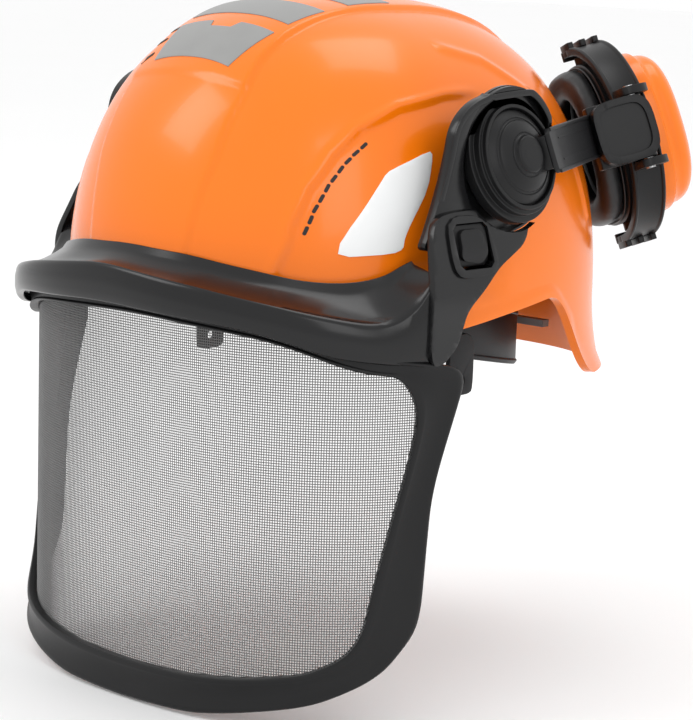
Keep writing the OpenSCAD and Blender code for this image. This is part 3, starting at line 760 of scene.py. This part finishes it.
def window_half():
    top = [(a, bot_z(a) - 6.5) for a in np.linspace(0, 58, 12)]
    side = [(a, z) for z, a in JAMB[::-1]]
    sill = [(a, z) for a, z in SILL[::-1]]
    return smooth_open(resample(top + side + sill, 120), 5)


def outer_half():
    top = [(a, bot_z(a) + 1.5) for a in np.linspace(0, 72, 14)]
    side = [(a, z) for z, a in REAR_EDGE[::-1]]
    hem = [(a, z) for a, z in HEM[::-1]]
    return smooth_open(resample(top + side + hem, 120), 3)


def screen_frame():
    """The frame as one closed loop of sections, each from the window's edge out to the outer edge."""
    both = list(zip(window_half(), outer_half()))
    prof = [(0.0, 0.0), (0.04, 0.7), (0.10, 1.1), (0.17, 0.75), (0.24, 0.05), (0.5, 0.0),
        (0.76, 0.05), (0.84, 0.9), (0.92, 1.2), (0.97, 0.8), (1.0, 0.0)]
    rings = []
    loop = both + [((-w[0], w[1]), (-o[0], o[1])) for w, o in both[-2:0:-1]]
    for w, o in loop:
        front = []
        back = []
        for t, h in prof:
            a, z = w[0] + (o[0] - w[0]) * t, w[1] + (o[1] - w[1]) * t
            front.append((*screen_at(a, h * 0.8), z))
            back.append((*screen_at(a, -FRAME_T), z))
        rings.append(front + back[::-1])
    return loft("screen_frame", rings, loop=True, angle=40)


o = screen_frame()
bevel(o, 0.5, 2, 60, 40)
own(o, "visor", "black_satin", SATIN, "visor_frame")


MESH_LOW = [(0, -170), (11, -169), (25, -166), (41, -162), (53, -151), (56, -141), (59, -117), (62.6, -91),
    (66, -69), (68, -53), (70, -40), (72, -28)]


def wire_mesh():
    """Woven wires: uprights at even steps along the screen, and level wires crossing them."""
    angles = np.linspace(-72, 72, FINE)
    xy = np.array([screen_at(a, WIRE_OFF) for a in angles])
    s = np.concatenate([[0], np.cumsum(np.hypot(*np.diff(xy, axis=0).T))])
    verts, faces = [], []

    def wire(points):
        """A four-sided wire along points, each given with its two cross directions."""
        base = len(verts)
        for p, u, w in points:
            for c, d in ((1, 0), (0, 1), (-1, 0), (0, -1)):
                verts.append(tuple(p[j] + WIRE_R * (c * u[j] + d * w[j]) for j in range(3)))
        for i in range(len(points) - 1):
            first = base + 4 * i
            for k in range(4):
                k2 = (k + 1) % 4
                faces.append((first + k, first + k2, first + 4 + k2, first + 4 + k))

    low = lambda a: lerp_table(abs(a), MESH_LOW)
    high = lambda a: bot_z(a) - 2
    for i in range(1, int(s[-1] / WIRE_PITCH)):
        a = float(np.interp(i * WIRE_PITCH, s, angles))
        x, y = screen_at(a, WIRE_OFF)
        x2, y2 = screen_at(a + 0.2, WIRE_OFF)
        t = Vector((x2 - x, y2 - y, 0)).normalized()
        n = Vector((t.y, -t.x, 0))
        z0, z1 = low(a), high(a)
        wire([((x, y, z0), t, n), ((x, y, z1), t, n)])
    z = LEVELS_FROM
    while z < LEVELS_TO:
        runs = []
        for i in (i for i in range(0, FINE, SKIP) if low(angles[i]) <= z <= high(angles[i])):
            if runs and i - runs[-1][-1] == SKIP:
                runs[-1].append(i)
            else:
                runs.append([i])
        for run in runs:
            if len(run) > 1:
                pts = []
                for j in run:
                    x, y = xy[j]
                    t = Vector((*(xy[min(j + 5, FINE - 1)] - xy[max(j - 5, 0)]), 0)).normalized()
                    n = Vector((t.y, -t.x, 0))
                    pts.append(((x, y, z), n, Vector((0, 0, 1))))
                wire(pts)
        z += WIRE_PITCH
    me = bpy.data.meshes.new("wire_mesh")
    me.from_pydata([tuple(c * MM for c in v) for v in verts], [], faces)
    o = bpy.data.objects.new("wire_mesh", me)
    scene.collection.objects.link(o)
    me.shade_smooth()
    return o


own(wire_mesh(), "visor", "mesh_steel", WIRE, "visor_mesh")

# ---------- hubs ----------
HUB = Matrix.Translation((127.4, 0, 78.2)) @ Matrix.Rotation(-TILT, 4, "Y")
COLLAR_X = 113.0


def clamp_x(o, lowest):
    for v in o.data.vertices:
        v.co.x = max(v.co.x, lowest * MM)
    return o


COLLAR = [(23.1, -10), (23.1, -5.5), (25, -5.5), (25, -8), (26.9, -8), (26.9, -11.4), (30, -11.4),
    (30, -16.5), (0, -16.5)]
collar = lathe("collar", round_profile(COLLAR, 0.5), 128)
clamp_x(place(collar, HUB), COLLAR_X)
floor_disc = lathe("collar_floor", [(0, -14), (23.3, -14), (23.3, -8.7), (5.1, -8.7), (0, -8.7)], 96)
clamp_x(place(floor_disc, HUB), COLLAR_X)
BOSS = [(0, 99), (24, 99), (24, 109.3), (13, 109.3), (13, 114), (0, 114)]
boss = lathe("boss", round_profile(BOSS, 0.6), 96)
place(boss, Matrix.Translation((0, 0, VISOR_Z)))
pair(join("hub_seat", [collar, floor_disc, boss]), "helmet", "black_satin", SATIN, "hub_base")

# cap: a shallow dome with two grooves and a raised centre
CAP_R, DOME_R, DOME_ANGLE = 22.5, 38, 36


def dome_x(r):
    """Depth of the dome's face at radius r, with its full angle reached at the cap's edge."""
    return DOME_R * (math.sqrt(max(0, 1 - (r * math.sin(math.radians(DOME_ANGLE)) / CAP_R) ** 2)) - 1)


dome = [(0, -8), (CAP_R, -8), (CAP_R, -7.0), (22.0, dome_x(22.0) + 0.2), (20, dome_x(20)),
    (18.4, dome_x(18.4))]
dome += [(18.0, dome_x(18.0) - 0.7), (17.2, dome_x(17.2) - 0.7), (16.8, dome_x(16.8))]
dome += [(r, dome_x(r)) for r in (15, 13.5, 12, 10.8)]
dome += [(10.4, dome_x(10.4) - 0.5), (9.6, dome_x(9.6) - 0.5), (9.0, dome_x(9) + 0.2)]
dome += [(8.6, 0.5), (7.6, 0.8), (4, 0.95), (0, 1.0)]
cap = lathe("cap", round_profile(dome, 0.35, 3), 128, 28)
stem = lathe("stem", [(0, -22), (5, -22), (5, -7.9), (0, -7.9)], 48)
place(cap, HUB)
place(stem, HUB)
STRIP_FRAME = Matrix.Translation((128.8, 12, 78.6)) @ turn(113.4, "Z") @ turn(-0.9, "Y") @ turn(71.4, "X")
foot = flat("foot", [rectangle(0.3, -8, 11.7, 8)], -7.5, -0.05, 0.8)
place(foot, STRIP_FRAME)
pair(join("hub_dome", [cap, stem, foot]), "hub_l", "black_satin", SATIN, "hub_cap")

STRIP_L = 101.0
outline = [(0.0, -8), (2.5, -11), (STRIP_L, -11), (STRIP_L, 11), (2.5, 11), (0, 8)]
bar = flat("bar", [chaikin(outline, 2, 0.12)], 0.05, 2.45, 0.5)
ridges = [flat("ridge", [rectangle(1.8, e * 10 - 0.9, STRIP_L, e * 10 + 0.9)], 2.2, 3.2, 0.5) for e in (-1,
    1)]
ribs = [flat("rib", [capsule(52, e * 5.2, 78, 1.0, 0)], 2.2, 2.75, 0.2) for e in (-1, 1)]
strip = join("strip", [bar] + ridges + ribs)
place(strip, STRIP_FRAME)
pair(strip, "arm_l", "strip_plastic", STRIP, "arm_strip")

# ---------- block, fork and cup ----------
CUP = Matrix.Translation((67.3, 142, 72.5)) @ turn(57, "Z") @ turn(-15.5, "Y") @ turn(-13.8, "X")
PIN = (-2.0, -58.0)
HOOD_MID, HOOD_FACE, HOOD_BOW = -12, -66, 0.0016
hood_shape = [(-27, -12), (-21, -16), (-1, -16), (4, -10), (4, 10), (-1, 16), (-21, 16), (-27, 12)]
hood_shape = chaikin(hood_shape, 2, 0.2)


def hood_face(rise):
    """Mapping onto the hood's bowed outer face, moved outward by rise."""
    return lambda u, v: (u, HOOD_FACE - rise + HOOD_BOW * v * v, v)


hood = slab("hood", [hood_shape], hood_face(0), lambda u, v: (u, -59, v), 4.0, 0.9)
inner = [(HOOD_MID + (u - HOOD_MID) * 0.78, v * 0.78) for u, v in hood_shape]
rim = slab("rim", [hood_shape, inner], hood_face(1.3), hood_face(-0.5), 4.0, 0.6)
lower = across("lower", [rectangle(-27, -16, -9, 16)], -53.4, -60, 1.0)
knuckle = lathe("knuckle", round_profile([(0, -16), (5, -16), (5, 16), (0, 16)], 0.6), 64)
place(knuckle, Matrix.Translation((PIN[0], PIN[1], 0)) @ turn(-90, "Y"))
hood_block = join("hood_block", [hood, rim, lower, knuckle])
place(hood_block, CUP)
pair(hood_block, "arm_l", "black_satin", SATIN, "arm_block")


def c_band():
    """The bow of the fork: a curved channel with raised edges."""
    half = [(8.5, 48.3), (8.5, 52.0), (7.9, 52.6), (6.9, 52.6), (6.4, 51.6)]
    section = [(-x, r) for x, r in half] + [(0, 51.5)] + half[::-1]
    rings = []
    for i in range(73):
        t = math.radians(180 + 180 * i / 72)
        rings.append([(x, r * math.sin(t), r * math.cos(t)) for x, r in section])
    return bevel(loft("bow", rings, angle=35), 0.35, 2, 40)


EAR = [(-8.5, -64), (-4, -66), (4, -63), (8.5, -58), (8.5, -47.5), (-8.5, -47.5)]
CLIP = [(-8.5, -0.5), (8.5, -0.5), (8.5, 6), (5, 9), (-5, 9), (-8.5, 6)]
parts = [c_band()]
for e in (-1, 1):
    parts.append(flat("ear", [chaikin(EAR, 2, 0.2)], e * 18.5 - 2, e * 18.5 + 2))
    parts.append(flat("clip", [CLIP], *sorted((e * 48.3, e * 51.8))))
    for x0 in (-8.5, -1.6, 5.3):
        parts.append(flat("tooth", [rectangle(x0, -6, x0 + 3.2, 7.5)], *sorted((e * 51.2, e * 55.0))))
    parts.append(flat("hook", [rectangle(-8.5, 6.5, 8.5, 9.2)], *sorted((e * 46.8, e * 52)), 0.5))
    stub = lathe("stub", round_profile([(0, 43.6), (2, 43.6), (2, 49), (0, 49)], 0.3), 40)
    place(stub, turn(-90 * e, "Y"))
    parts.append(stub)
fork = join("bow_fork", parts)
place(fork, CUP)
pair(fork, "fork_l", "black_satin", SATIN, "fork")

def cup_ring(c, he, hw, n=96, power=2.6):
    """Rounded outline of the cup at depth c, half height he and half width hw."""
    turns = [2 * math.pi * k / n for k in range(n)]
    return [(c, hw * spow(math.cos(t), 2 / power), he * spow(math.sin(t), 2 / power)) for t in turns]


def cup_loft(name, steps, **kw):
    return loft(name, [cup_ring(c, he, hw, **kw) for c, he, hw in steps], angle=32)


outer = [(6.3, 41.6, 35.6), (6.8, 42, 36), (17.5, 42.2, 36.2), (18.6, 42.0, 36.0), (19.3, 41.2, 35.2),
    (19.8, 40.4, 34.4), (21, 39.9, 33.9)]
for i in range(15):
    t = i / 14
    ang = t * math.pi / 2
    drop = (1 - math.cos(ang)) ** 1.15
    outer.append((22 + 12 * math.sin(ang) ** 0.9, 39.6 - 19 * drop, 33.6 - 17.5 * drop))
outer += [(34.3, 16, 12), (34.4, 8, 6), (34.4, 0.1, 0.1)]
inner = [(6.3, 39.4, 33.4), (17, 39.4, 33.4), (21, 37, 31), (27, 33, 27), (31, 22, 17), (31.4, 10, 8),
    (31.4, 0.1, 0.1)]
shell_cup = cup_loft("cup", outer[::-1] + inner)
place(shell_cup, CUP)
pair(shell_cup, "cup_l", "shell_plastic", ORANGE, "cup_shell")

he, hw = 42.6, 36.6
drum = [(-8, 28, 22), (-8, he - 1, hw - 1), (-7.2, he, hw), (-3.2, he, hw), (-2.6, he - 0.9, hw - 0.9),
    (-1.2, he - 0.9, hw - 0.9), (-0.6, he, hw), (5.2, he, hw), (6, he - 0.8, hw - 0.8), (6, 28, 22)]
drum = loft("drum", [cup_ring(*s) for s in drum], loop=True, angle=32)
studs = []
for e in (-1, 1):
    st = lathe("stud", round_profile([(2.05, 43.4), (2.05, 46.6), (5, 46.6), (5, 42.0), (0, 42.0)], 0.4), 48)
    place(st, turn(-90 * e, "Y"))
    studs.append(st)
plate = join("cup_drum", [drum] + studs)
place(plate, CUP)
pair(plate, "cup_l", "black_satin", SATIN, "cup_plate")


def puff(o, voxel, pressure=4.0, cap=1.6, smooth=6):
    """Turn a plain soft solid into a filled skin: remesh it, blow it up as cloth, and round it off."""
    m = o.modifiers.new("remesh", "REMESH")
    m.mode = "VOXEL"
    m.voxel_size = voxel * MM
    bake(o)
    rest = np.array([v.co for v in o.data.vertices])
    c = o.modifiers.new("cloth", "CLOTH")
    c.settings.quality = 4
    c.settings.mass = 0.2
    c.settings.use_pressure = True
    c.settings.uniform_pressure_force = pressure
    c.settings.effector_weights.gravity = 0
    c.settings.tension_stiffness = 12
    c.settings.compression_stiffness = 12
    c.settings.bending_stiffness = 0.4
    for f in range(1, 21):
        scene.frame_set(f)
    dg = bpy.context.evaluated_depsgraph_get()
    ev = o.evaluated_get(dg)
    moved = np.array([v.co for v in ev.data.vertices])
    o.modifiers.clear()
    scene.frame_set(1)
    step = moved - rest
    size = np.linalg.norm(step, axis=1, keepdims=True)
    step *= np.minimum(1, cap * MM / np.maximum(size, 1e-9))
    for v, p in zip(o.data.vertices, rest + step):
        v.co = p
    s = o.modifiers.new("smooth", "SMOOTH")
    s.factor = 0.5
    s.iterations = smooth
    s2 = o.modifiers.new("sub", "SUBSURF")
    s2.levels = 1
    s2.render_levels = 1
    return bake(o, 180)


CUSHION = [(-18.8, 26.5, 20.5), (-19.8, 30, 24), (-19.8, 38, 32), (-17, 41.3, 35.3), (-11, 41.4, 35.4),
    (-8.5, 40.5, 34.5), (-8.5, 27.5, 21.5), (-15, 26.2, 20.2)]
ring = loft("cushion", [cup_ring(*s) for s in CUSHION], loop=True, angle=180)
puff(ring, 2.6, cap=0.9)
place(ring, CUP)
for o in pair(ring, "cup_l", "cushion_skin", VINYL, "cup_cushion"):
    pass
seam = tube("seam", cup_ring(-9.2, 41.2, 35.2, n=120), 0.55, 8, True)
place(seam, CUP)
pair(seam, "cup_l", "cushion_skin", VINYL)

FOAM_STEPS = [(6.6, 30, 24), (6.6, 37.4, 31.4), (7.4, 38, 32), (12.2, 38, 32), (13, 37.2, 31.2),
    (13.2, 20, 16),
    (13.2, 0.1, 0.1)]
foam = cup_loft("foam", FOAM_STEPS)
foam_front = cup_loft("foam_front", [(6.6, 0.1, 0.1), (6.6, 30.2, 24.2), (6.9, 30.2, 24.2), (7.0, 0.1, 0.1)])
liner = join("foam_liner", [foam, foam_front])
puff(liner, 2.4, cap=0.3, smooth=2)
place(liner, CUP)
for o in pair(liner, "cup_l", "liner_foam", FOAM, "cup_liner"):
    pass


# ---------- harness ----------
def band_z(y):
    return -9 - 0.19 * y


def band_at(a, off=0.0):
    return plan(a, 84 + off, 100 + off, 98 + off, NF, NR)


def band_section(a, off, t, h, r=0.6):
    """Rounded section of a band t thick and h high, standing inward from the band line."""
    z = band_z(band_at(a, off)[1])
    shape = ((0, -h / 2 + r), (0, 0), (0, h / 2 - r), (-r, h / 2), (-t + r, h / 2), (-t, h / 2 - r), (-t, 0),
        (-t, -h / 2 + r), (-t + r, -h / 2), (-r, -h / 2))
    return [(*band_at(a, off + out), z + up) for out, up in shape]


def band(name, a0, a1, off, t, h, steps, **kw):
    return loft(name, [band_section(a0 + (a1 - a0) * i / steps, off, t, h, **kw) for i in range(steps + 1)],
        angle=35)


pieces = [band("band", -140, 140, 0, 2, 28, 140)]
for up in (-12.2, 12.2):
    rings = []
    for a in np.linspace(-139, 139, 140):
        z = band_z(band_at(a)[1]) + up
        rings.append([(*band_at(a, 0.6 * math.cos(t)), z + 0.9 * math.sin(t))
            for t in np.linspace(0, 2 * math.pi, 9)[:-1]])
    pieces.append(loft("bead", rings, angle=60))
TAB = [(-4, -40), (-1, -42), (11, -42), (14, -40), (14, -12), (-4, -12)]
for s in (-1, 1):
    pieces.append(upright("tab", [chaikin(TAB, 2, 0.2), circle(5, -35, 2.6, 40)], s * 84, s * 87))
own(join("head_band", pieces), "helmet", "band_plastic", BAND, "headband")

sweat = band("sweat", -60, 60, -2.2, 4, 28, 60, r=1.5)
puff(sweat, 2.6, cap=0.9, smooth=5)
own(sweat, "helmet", "pad_fabric", FABRIC, "sweatband")
pad = band("pad", 180 - 31, 180 + 31, -2.2, 5, 25, 30, r=1.5)
puff(pad, 2.6, cap=0.9, smooth=5)
own(pad, "nape", "pad_fabric", FABRIC, "nape_pad")
own(band("nape", 180 - 32, 180 + 32, 0, 2, 28, 50), "nape", "band_plastic", BAND, "nape_band")


STRAP_SECTION = [(-9.6, 0), (-10, -0.8), (-9.6, -1.6), (-5, -1.75), (5, -1.75), (9.6, -1.6), (10, -0.8),
    (9.6, 0),
    (5, 0.15), (-5, 0.15)]


def strap(a0, lift):
    """A crown strap over the head, up at plan angle a0 and down on the other side."""
    def station(a, deg, way):
        th = math.radians(deg)
        s = math.cos(th) ** 0.75
        x, y = plan(a, 90 * s, 108 * s, 106 * s, NF, NR)
        z = 22 + lift + 96 * math.sin(th) ** (2 / P_UP)
        q = Vector(band_at(a)).normalized() * way
        u = Vector((-q.y, q.x, 0))
        n = Vector((way * q.x * math.cos(th), way * q.y * math.cos(th), math.sin(th)))
        p = Vector((x, y, z))
        return [tuple(p + u * w + n * h) for w, h in STRAP_SECTION]

    first = [station(a0, d, 1) for d in list(range(0, 84, 3)) + [84, 86, 88]]
    second = [station(a0 + 180, d, -1) for d in [88, 86, 84] + list(range(81, -3, -3))]
    return loft("strap", first + second, angle=40)


own(join("straps", [strap(45, 0), strap(-45, 2.4)]), "helmet", "webbing", WEBBING, "crown_straps")

anchors = []
for a in (-135, -45, 45, 135):
    start, end = Vector(band_at(a, -0.8)), Vector(shell_at(a, 18, -WALL + 0.6))
    n = (end - start).length
    d = (end - start).normalized()
    u = Vector((-d.y, d.x))
    m = Matrix(((d.x, u.x, 0, start.x), (d.y, u.y, 0, start.y), (0, 0, 1, 0), (0, 0, 0, 1)))
    outline = [(0, -9), (n * 0.6, -8), (n, -3), (n, 3), (n * 0.6, 8), (0, 9)]
    anchors.append(place(flat("anchor", [outline, capsule(n * 0.5, 0, n * 0.45, 5, 0)], 6.2, 19.6, 0.8), m))
    anchors.append(place(flat("lug", [capsule(3.0, 0, 16, 4.5, math.pi / 2)], 16, 22.5), m))
own(join("anchors", anchors), "helmet", "black_satin", SATIN, "strap_anchors")

AXIS_Z = -28.0
case_outline = chaikin(rectangle(-34, -14, 34, 14), 2, 0.14)
case = [across("lid", [case_outline, circle(0, 0, 3.05, 40)], 108.8, 111, 0.6, AXIS_Z),
    across("base", [case_outline], 98.4, 100.6, 0.5, AXIS_Z)]
for e in (-1, 1):
    v0, v1 = sorted((e * 10.5, e * 14))
    case.append(across("wall", [rectangle(-32.5, v0, 32.5, v1)], 100.2, 109.2, 0.3, AXIS_Z))
own(join("ratchet_case", case), "nape", "black_satin", SATIN, "ratchet_housing")


def knob_outline(r, bite):
    """Circle with twelve shallow finger hollows."""
    turns = np.linspace(0, 2 * math.pi, 145)[:-1]
    radii = [r - bite * 0.5 * (1 - math.cos(12 * t)) for t in turns]
    return [(q * math.cos(t), q * math.sin(t)) for q, t in zip(radii, turns)]


grip = across("grip", [knob_outline(17, 1.7)], 111.4, 123, 1.0, AXIS_Z)
grip_cap = across("grip_cap", [circle(0, 0, 13.6, 96)], 122, 125, 0.8, AXIS_Z)
grip_bar = across("grip_bar", [capsule(0, 0, 22, 4, 0)], 124, 126, 0.6, AXIS_Z)
own(join("turn_knob", [grip, grip_cap, grip_bar]), "knob", "black_satin", SATIN, "ratchet_knob")

# ---------- solids kept as they are, with their finish ----------
KEPT = ((STEEL, ("hub_bolts", "block_pin_left", "block_pin_right")), (DARK_STEEL, ("frame_rivets",)),
    (NYLON, ("drive_pinion", "rack_left", "rack_right")), (SATIN, ("mesh_retainer",)))
for mat, names in KEPT:
    for n in names:
        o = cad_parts[n]
        o.data.materials.clear()
        o.data.materials.append(mat)

# ---------- floor, light and camera ----------
FLOOR_Z, FLOOR_HALF = -184.0, 9000
corners = rectangle(-FLOOR_HALF, -FLOOR_HALF, FLOOR_HALF, FLOOR_HALF)
floor = fresh("floor", [(x, y, FLOOR_Z) for x, y in corners], [(0, 1, 2, 3)])
floor.data.materials.append(paint("pale_floor", (0.97, 0.97, 0.97), 0.6, vary=0.01, scale=3, bump=0.0,
    grain=200))

world = bpy.data.worlds.new("studio")
scene.world = world
world.use_nodes = True
world.node_tree.nodes["Background"].inputs[0].default_value = (1, 1, 1, 1)
world.node_tree.nodes["Background"].inputs[1].default_value = 1.0


def lamp(name, where, target, size, power, size_y=None):
    d = bpy.data.lights.new(name, "AREA")
    d.shape = "RECTANGLE"
    d.size = size
    d.size_y = size_y or size
    d.energy = power
    o = bpy.data.objects.new(name, d)
    scene.collection.objects.link(o)
    o.location = where
    o.rotation_euler = (Vector(target) - Vector(where)).to_track_quat("-Z", "Y").to_euler()
    return o


lamp("key", (-0.9, -1.3, 1.5), (0, 0, 0.02), 0.9, 9)
lamp("side", (1.7, -0.5, 0.9), (0, 0, 0.0), 0.7, 5, 1.2)
lamp("top", (0.2, 0.6, 1.7), (0, 0, 0.05), 0.8, 5)

# the photograph's view: azimuth, elevation and roll, distance, and shift of the picture's centre in mm
AZIMUTH, ELEVATION, ROLL = math.radians(42.1), math.radians(9.9), math.radians(1.7)
DISTANCE, SHIFT_RIGHT, SHIFT_UP = 1252.0, 12.3, -35.3
right_dir = Vector((math.cos(AZIMUTH), math.sin(AZIMUTH), 0))
forward = Vector((-math.sin(AZIMUTH) * math.cos(ELEVATION), math.cos(AZIMUTH) * math.cos(ELEVATION),
    -math.sin(ELEVATION)))
up_dir = right_dir.cross(forward)
cam_x = right_dir * math.cos(ROLL) + up_dir * math.sin(ROLL)
cam_y = up_dir * math.cos(ROLL) - right_dir * math.sin(ROLL)
cam = bpy.data.cameras.new("camera")
cam.sensor_width = 36
cam.lens = 125
cam.clip_end = 50
cam.dof.use_dof = False
camera = bpy.data.objects.new("camera", cam)
scene.collection.objects.link(camera)
m = Matrix((cam_x, cam_y, -forward)).transposed().to_4x4()
m.translation = (right_dir * SHIFT_RIGHT + up_dir * SHIFT_UP - forward * DISTANCE) * MM
camera.matrix_world = m
scene.camera = camera
scene.render.resolution_x = 693
scene.render.resolution_y = 720
scene.view_settings.view_transform = "Standard"
scene.view_settings.look = "None"
scene.view_settings.exposure = 0.0
